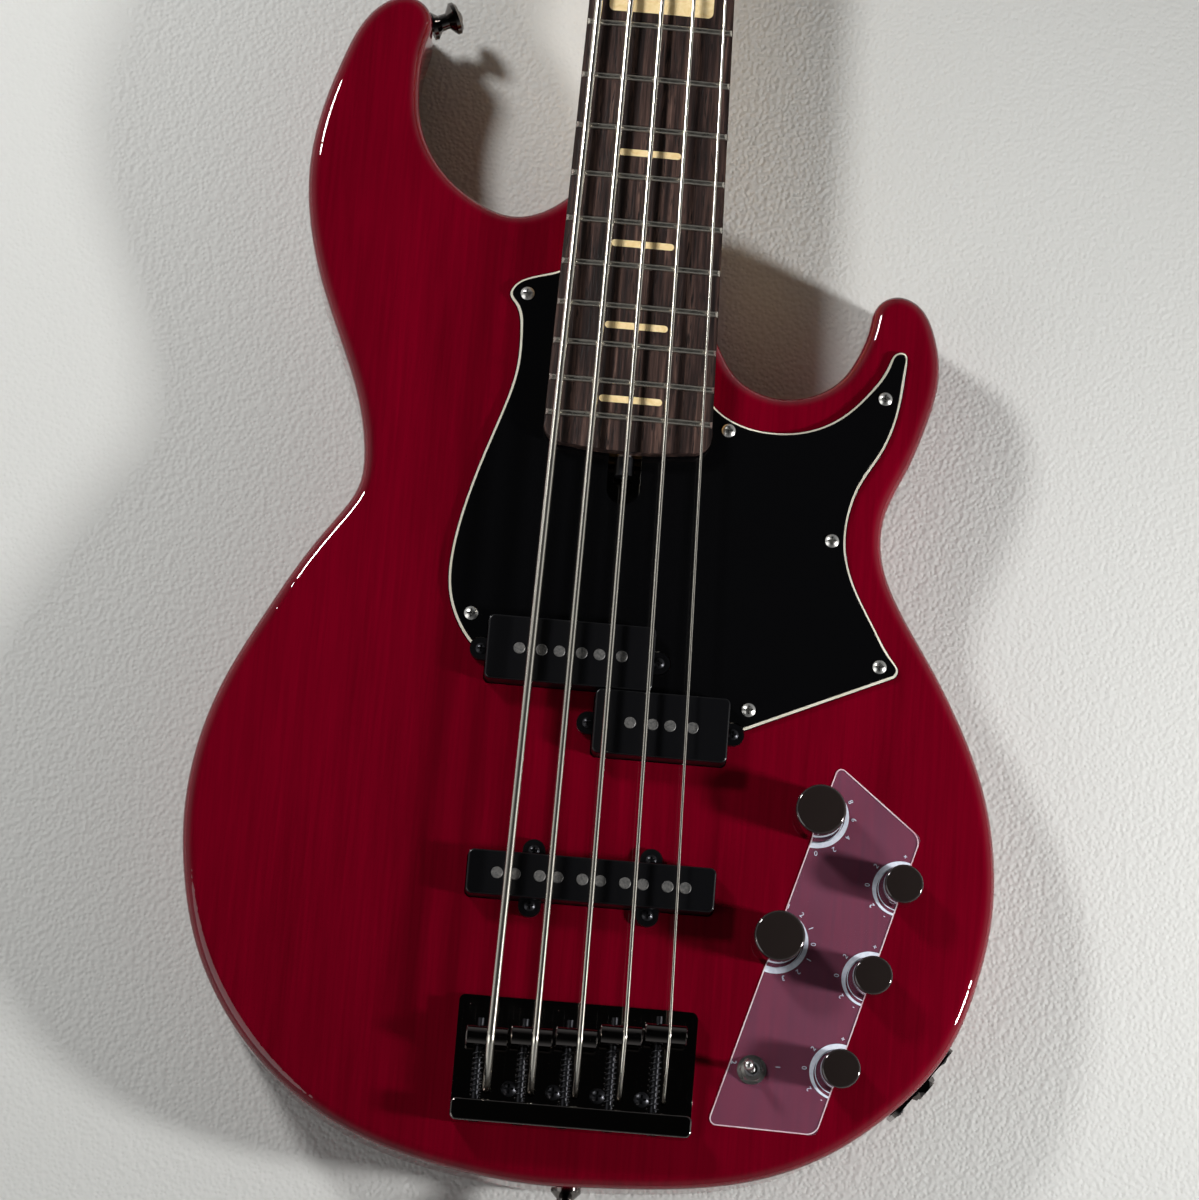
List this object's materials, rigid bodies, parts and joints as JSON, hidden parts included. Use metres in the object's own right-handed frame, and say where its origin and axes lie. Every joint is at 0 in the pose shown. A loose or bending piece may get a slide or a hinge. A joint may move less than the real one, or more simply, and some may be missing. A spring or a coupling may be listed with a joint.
{
  "type": "electric bass guitar",
  "caption": "Solid-body electric bass guitar with a bolt-on neck, split and bar pickups, string-through bridge, active controls and a side output jack.",
  "frame": {"origin": "on the flat back of the body, on the centre line, at the bridge end of the string scale", "axes": "+X to the thinnest string, +Y along the neck to the headstock, +Z out of the front"},
  "size_m": [0.3368, 1.1599, 0.067],
  "materials": {
    "cherry_lacquer": "clear gloss over a red stain",
    "maple": "satin lacquer",
    "rosewood": "oiled, open grain",
    "fret_nickel": "polished",
    "cream_inlay": "polished flush",
    "bone": "polished",
    "steel": "plain",
    "chrome_plate": "polished plating",
    "black_ply": "gloss",
    "cream_ply": "gloss cut edge",
    "black_cover": "satin moulding",
    "coil_wire": "enamelled wire on a bobbin",
    "magnet": "ground ends",
    "black_plate": "black plating",
    "black_screw": "black oxide",
    "string_nickel": "round wound",
    "clear_film": "clear with printed marks",
    "black_plastic": "fine texture",
    "circuit_board": "solder mask",
    "battery_case": "printed sleeve",
    "lead_rubber": "insulation"
  },
  "bodies": {
    "instrument": {"body": "cherry_lacquer", "neck": "maple", "fingerboard": "rosewood", "frets": "fret_nickel", "position_markers": "cream_inlay", "nut": "bone", "truss_rod": "steel", "neck_plate": "chrome_plate", "neck_screws": "chrome_plate", "pickguard": "black_ply", "pickguard_white_ply": "cream_ply", "pickguard_screws": "chrome_plate", "pickup_covers": "black_cover", "pickup_coils": "coil_wire", "pickup_pole_pieces": "magnet", "small_screws": "black_screw", "bridge_plate": "black_plate", "bridge_screws": "black_screw", "saddle_springs": "black_screw", "strings": "string_nickel", "string_ferrules": "chrome_plate", "strap_buttons": "black_plate", "control_film": "clear_film", "potentiometers": "steel", "control_nuts": "chrome_plate", "toggle_switch_case": "steel", "jack_plate": "black_plate", "jack_socket": "black_plate", "control_cover": "black_plastic", "battery_box": "black_plastic", "battery": "battery_case", "preamp_board": "circuit_board", "wiring": "lead_rubber", "tuner_plates": "black_plate", "tuner_bushings": "black_plate", "string_tree": "black_plate"},
    "volume_knob": {"volume_knob": "black_plate"},
    "balance_knob": {"balance_knob": "black_plate"},
    "bass_knob": {"bass_knob": "black_plate"},
    "middle_knob": {"middle_knob": "black_plate"},
    "treble_knob": {"treble_knob": "black_plate"},
    "toggle_lever": {"toggle_lever": "chrome_plate"},
    "saddle_b": {"saddle_b": "black_plate"},
    "saddle_e": {"saddle_e": "black_plate"},
    "saddle_a": {"saddle_a": "black_plate"},
    "saddle_d": {"saddle_d": "black_plate"},
    "saddle_g": {"saddle_g": "black_plate"},
    "battery_door": {"battery_door": "black_plastic"},
    "truss_rod_nut": {"truss_rod_nut": "black_screw"},
    "tuner_key_b": {"tuner_key_b": "black_plate"},
    "tuner_post_b": {"tuner_post_b": "black_plate"},
    "tuner_key_e": {"tuner_key_e": "black_plate"},
    "tuner_post_e": {"tuner_post_e": "black_plate"},
    "tuner_key_a": {"tuner_key_a": "black_plate"},
    "tuner_post_a": {"tuner_post_a": "black_plate"},
    "tuner_key_d": {"tuner_key_d": "black_plate"},
    "tuner_post_d": {"tuner_post_d": "black_plate"},
    "tuner_key_g": {"tuner_key_g": "black_plate"},
    "tuner_post_g": {"tuner_post_g": "black_plate"}
  },
  "joints": [
    {"name": "volume_knob_turn", "type": "hinge", "parent": "instrument", "child": "volume_knob", "pos_m": [0.0908, 0.096, 0.05], "axis": [0, 0, 1], "range_deg": [0, 300]},
    {"name": "balance_knob_turn", "type": "hinge", "parent": "instrument", "child": "balance_knob", "pos_m": [0.0774, 0.0428, 0.05], "axis": [0, 0, 1], "range_deg": [-150, 150]},
    {"name": "bass_knob_turn", "type": "hinge", "parent": "instrument", "child": "bass_knob", "pos_m": [0.127, 0.0687, 0.05], "axis": [0, 0, 1], "range_deg": [-150, 150]},
    {"name": "middle_knob_turn", "type": "hinge", "parent": "instrument", "child": "middle_knob", "pos_m": [0.1167, 0.0303, 0.05], "axis": [0, 0, 1], "range_deg": [-150, 150]},
    {"name": "treble_knob_turn", "type": "hinge", "parent": "instrument", "child": "treble_knob", "pos_m": [0.106, -0.0085, 0.05], "axis": [0, 0, 1], "range_deg": [-150, 150]},
    {"name": "toggle_flip", "type": "hinge", "parent": "instrument", "child": "toggle_lever", "pos_m": [0.071, -0.0105, 0.0473], "axis": [0.2784, 0.9605, 0], "range_deg": [0, 24]},
    {"name": "saddle_b_slide", "type": "slide", "parent": "instrument", "child": "saddle_b", "axis": [0, 1, 0], "range_m": [-0.004, 0.004], "deforming": ["saddle_springs", "strings"]},
    {"name": "saddle_e_slide", "type": "slide", "parent": "instrument", "child": "saddle_e", "axis": [0, 1, 0], "range_m": [-0.004, 0.004], "deforming": ["saddle_springs", "strings"]},
    {"name": "saddle_a_slide", "type": "slide", "parent": "instrument", "child": "saddle_a", "axis": [0, 1, 0], "range_m": [-0.004, 0.004], "deforming": ["saddle_springs", "strings"]},
    {"name": "saddle_d_slide", "type": "slide", "parent": "instrument", "child": "saddle_d", "axis": [0, 1, 0], "range_m": [-0.004, 0.004], "deforming": ["saddle_springs", "strings"]},
    {"name": "saddle_g_slide", "type": "slide", "parent": "instrument", "child": "saddle_g", "axis": [0, 1, 0], "range_m": [-0.004, 0.004], "deforming": ["saddle_springs", "strings"]},
    {"name": "battery_door_hinge", "type": "hinge", "parent": "instrument", "child": "battery_door", "pos_m": [-0.082, -0.00188, 0.00162], "axis": [-1, 0, 0], "range_deg": [0, 90]},
    {"name": "truss_rod_nut_turn", "type": "hinge", "parent": "instrument", "child": "truss_rod_nut", "pos_m": [0, 0.238, 0.0435], "axis": [0, 1, 0], "range_deg": [-180, 180]},
    {"name": "tuner_key_b_turn", "type": "hinge", "parent": "instrument", "child": "tuner_key_b", "pos_m": [-0.02239, 0.919, 0.0233], "axis": [-0.9803, 0.1977, 0], "continuous": true},
    {"name": "tuner_post_b_turn", "type": "hinge", "parent": "instrument", "child": "tuner_post_b", "pos_m": [-0.02466, 0.90773, 0.0295], "axis": [0, 0, 1], "continuous": true},
    {"name": "tuner_key_e_turn", "type": "hinge", "parent": "instrument", "child": "tuner_key_e", "pos_m": [-0.0128, 0.96094, 0.0233], "axis": [-0.9803, 0.1977, 0], "continuous": true},
    {"name": "tuner_post_e_turn", "type": "hinge", "parent": "instrument", "child": "tuner_post_e", "pos_m": [-0.01507, 0.94966, 0.0295], "axis": [0, 0, 1], "continuous": true},
    {"name": "tuner_key_a_turn", "type": "hinge", "parent": "instrument", "child": "tuner_key_a", "pos_m": [-0.00411, 1.00287, 0.0233], "axis": [-0.9803, 0.1977, 0], "continuous": true},
    {"name": "tuner_post_a_turn", "type": "hinge", "parent": "instrument", "child": "tuner_post_a", "pos_m": [-0.00638, 0.9916, 0.0295], "axis": [0, 0, 1], "continuous": true},
    {"name": "tuner_key_d_turn", "type": "hinge", "parent": "instrument", "child": "tuner_key_d", "pos_m": [0.00374, 1.0448, 0.0233], "axis": [-0.9803, 0.1977, 0], "continuous": true},
    {"name": "tuner_post_d_turn", "type": "hinge", "parent": "instrument", "child": "tuner_post_d", "pos_m": [0.00146, 1.03353, 0.0295], "axis": [0, 0, 1], "continuous": true},
    {"name": "tuner_key_g_turn", "type": "hinge", "parent": "instrument", "child": "tuner_key_g", "pos_m": [0.02553, 0.91243, 0.0233], "axis": [0.9803, 0.1977, 0], "continuous": true},
    {"name": "tuner_post_g_turn", "type": "hinge", "parent": "instrument", "child": "tuner_post_g", "pos_m": [0.02326, 0.92371, 0.0295], "axis": [0, 0, 1], "continuous": true}
  ],
  "couplings": [
    {"joint": "tuner_post_b_turn", "follows": "tuner_key_b_turn", "ratio": -0.05},
    {"joint": "tuner_post_e_turn", "follows": "tuner_key_e_turn", "ratio": -0.05},
    {"joint": "tuner_post_a_turn", "follows": "tuner_key_a_turn", "ratio": -0.05},
    {"joint": "tuner_post_d_turn", "follows": "tuner_key_d_turn", "ratio": -0.05},
    {"joint": "tuner_post_g_turn", "follows": "tuner_key_g_turn", "ratio": -0.05}
  ]
}
